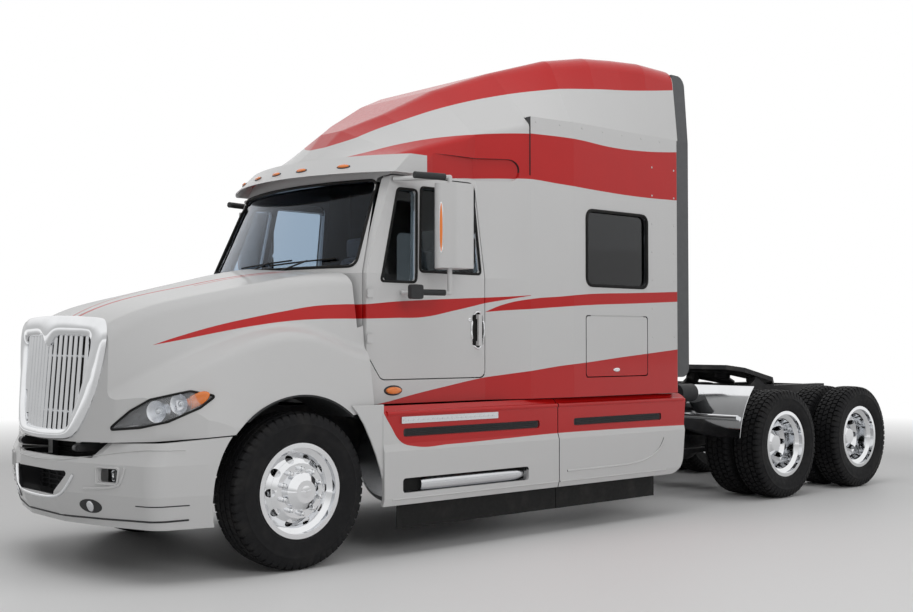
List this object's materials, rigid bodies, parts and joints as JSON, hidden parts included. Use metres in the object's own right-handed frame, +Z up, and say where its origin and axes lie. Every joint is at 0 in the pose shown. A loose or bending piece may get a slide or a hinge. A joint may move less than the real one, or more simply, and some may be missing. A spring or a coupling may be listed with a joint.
{
  "type": "semi truck tractor unit",
  "caption": "Long-hood road tractor with raised-roof sleeper, tilting hood, hinged doors, steered front wheels, dual drive tyres and a tilting coupling plate.",
  "frame": {"origin": "on the ground under the middle of the outer box", "axes": "+X forward, +Y to the truck's left, +Z up"},
  "size_m": [8.6163, 2.8, 3.8122],
  "materials": {
    "body_paint": "gloss",
    "chassis_black": "satin",
    "cast_steel": "matte",
    "radiator_alloy": "satin",
    "tank_alloy": "polished",
    "bright_chrome": "mirror",
    "dark_plastic": "matte",
    "tinted_glass": "gloss",
    "black_rubber": "matte",
    "tyre_rubber": "matte",
    "seat_fabric": "woven",
    "lamp_plastic": "gloss"
  },
  "bodies": {
    "chassis": {"frame_rails": "chassis_black", "front_axle": "cast_steel", "drive_axles": "cast_steel", "drive_suspension": "chassis_black", "engine": "cast_steel", "driveline": "cast_steel", "radiator": "radiator_alloy", "fuel_tanks": "tank_alloy", "frame_boxes": "dark_plastic", "bumper": "body_paint", "cab_shell": "body_paint", "cab_floor": "dark_plastic", "sleeper_shell": "body_paint", "roof_cap": "body_paint", "windshield": "tinted_glass", "sleeper_glass": "tinted_glass", "sun_visor": "body_paint", "side_extenders": "dark_plastic", "side_fairings": "body_paint", "fairing_flaps": "black_rubber", "steps": "tank_alloy", "quarter_fenders": "bright_chrome", "fifth_wheel_base": "cast_steel", "dashboard": "dark_plastic", "steering_wheel": "dark_plastic", "seats": "seat_fabric", "bunk": "seat_fabric", "tail_lamps": "lamp_plastic"},
    "hood": {"hood_shell": "body_paint", "grille_surround": "bright_chrome", "grille_bars": "bright_chrome", "headlamps": "lamp_plastic", "arch_liners": "dark_plastic"},
    "fifth_wheel": {"fifth_wheel_plate": "cast_steel"},
    "door_left": {"door_left_shell": "body_paint", "door_left_glass": "tinted_glass", "door_left_mirror": "dark_plastic"},
    "luggage_left": {"luggage_door_left": "body_paint"},
    "knuckle_left": {"knuckle_left": "cast_steel"},
    "front_wheel_left": {"front_tyre_left": "tyre_rubber", "front_rim_left": "bright_chrome"},
    "drive_wheel_front_left": {"drive_tyres_front_left": "tyre_rubber", "drive_rims_front_left": "bright_chrome"},
    "drive_wheel_rear_left": {"drive_tyres_rear_left": "tyre_rubber", "drive_rims_rear_left": "bright_chrome"},
    "door_right": {"door_right_shell": "body_paint", "door_right_glass": "tinted_glass", "door_right_mirror": "dark_plastic"},
    "luggage_right": {"luggage_door_right": "body_paint"},
    "knuckle_right": {"knuckle_right": "cast_steel"},
    "front_wheel_right": {"front_tyre_right": "tyre_rubber", "front_rim_right": "bright_chrome"},
    "drive_wheel_front_right": {"drive_tyres_front_right": "tyre_rubber", "drive_rims_front_right": "bright_chrome"},
    "drive_wheel_rear_right": {"drive_tyres_rear_right": "tyre_rubber", "drive_rims_rear_right": "bright_chrome"}
  },
  "joints": [
    {"name": "hood_tilt", "type": "hinge", "parent": "chassis", "child": "hood", "pos_m": [4.215, 0, 0.8], "axis": [0, 1, 0], "range_deg": [0, 60]},
    {"name": "fifth_wheel_tilt", "type": "hinge", "parent": "chassis", "child": "fifth_wheel", "pos_m": [-3.055, 0, 1.075], "axis": [0, 1, 0], "range_deg": [0, 22]},
    {"name": "door_left_hinge", "type": "hinge", "parent": "chassis", "child": "door_left", "pos_m": [2.441, 1.062, 1.2], "axis": [0, 0, -1], "range_deg": [0, 70]},
    {"name": "luggage_left_hinge", "type": "hinge", "parent": "chassis", "child": "luggage_left", "pos_m": [0.03, 1.211, 1.665], "axis": [1, 0, 0], "range_deg": [0, 85]},
    {"name": "steer_left", "type": "hinge", "parent": "chassis", "child": "knuckle_left", "pos_m": [3.045, 0.89, 0.505], "axis": [0, 0, 1], "range_deg": [-38, 38]},
    {"name": "front_wheel_left_spin", "type": "hinge", "parent": "knuckle_left", "child": "front_wheel_left", "pos_m": [3.045, 1.032, 0.505], "axis": [0, 1, 0], "continuous": true},
    {"name": "drive_wheel_front_left_spin", "type": "hinge", "parent": "chassis", "child": "drive_wheel_front_left", "pos_m": [-2.395, 0.912, 0.505], "axis": [0, 1, 0], "continuous": true},
    {"name": "drive_wheel_rear_left_spin", "type": "hinge", "parent": "chassis", "child": "drive_wheel_rear_left", "pos_m": [-3.715, 0.912, 0.505], "axis": [0, 1, 0], "continuous": true},
    {"name": "door_right_hinge", "type": "hinge", "parent": "chassis", "child": "door_right", "pos_m": [2.441, -1.062, 1.2], "axis": [0, 0, 1], "range_deg": [0, 70]},
    {"name": "luggage_right_hinge", "type": "hinge", "parent": "chassis", "child": "luggage_right", "pos_m": [0.03, -1.211, 1.665], "axis": [-1, 0, 0], "range_deg": [0, 85]},
    {"name": "steer_right", "type": "hinge", "parent": "chassis", "child": "knuckle_right", "pos_m": [3.045, -0.89, 0.505], "axis": [0, 0, 1], "range_deg": [-38, 38]},
    {"name": "front_wheel_right_spin", "type": "hinge", "parent": "knuckle_right", "child": "front_wheel_right", "pos_m": [3.045, -1.032, 0.505], "axis": [0, 1, 0], "continuous": true},
    {"name": "drive_wheel_front_right_spin", "type": "hinge", "parent": "chassis", "child": "drive_wheel_front_right", "pos_m": [-2.395, -0.912, 0.505], "axis": [0, 1, 0], "continuous": true},
    {"name": "drive_wheel_rear_right_spin", "type": "hinge", "parent": "chassis", "child": "drive_wheel_rear_right", "pos_m": [-3.715, -0.912, 0.505], "axis": [0, 1, 0], "continuous": true}
  ],
  "couplings": [
    {"joint": "steer_right", "follows": "steer_left", "ratio": 1}
  ]
}
